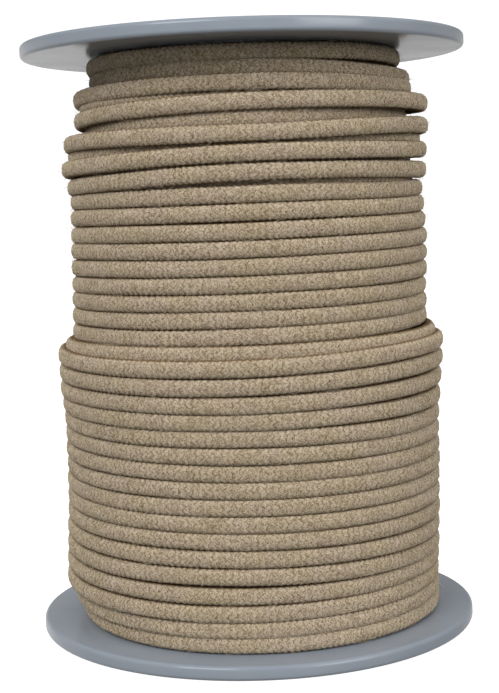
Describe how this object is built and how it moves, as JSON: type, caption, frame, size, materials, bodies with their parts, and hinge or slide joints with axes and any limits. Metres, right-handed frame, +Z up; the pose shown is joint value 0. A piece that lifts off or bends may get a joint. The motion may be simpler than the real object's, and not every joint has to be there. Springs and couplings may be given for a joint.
{
  "type": "linen rope on plastic spool",
  "caption": "Braided natural linen rope wound in close layers on an upright grey plastic spool with round flanges and a straight through bore.",
  "frame": {"origin": "centre of the underside of the bottom flange", "axes": "+Z up the spool's axis, -Y towards the front, +X to the right"},
  "size_m": [0.225, 0.225, 0.299],
  "materials": {
    "spool_plastic": "satin",
    "linen_braid": "rough"
  },
  "bodies": {
    "root": {"flange_bottom": "spool_plastic", "flange_top": "spool_plastic", "barrel": "spool_plastic", "rope_winding": "linen_braid"}
  },
  "joints": []
}
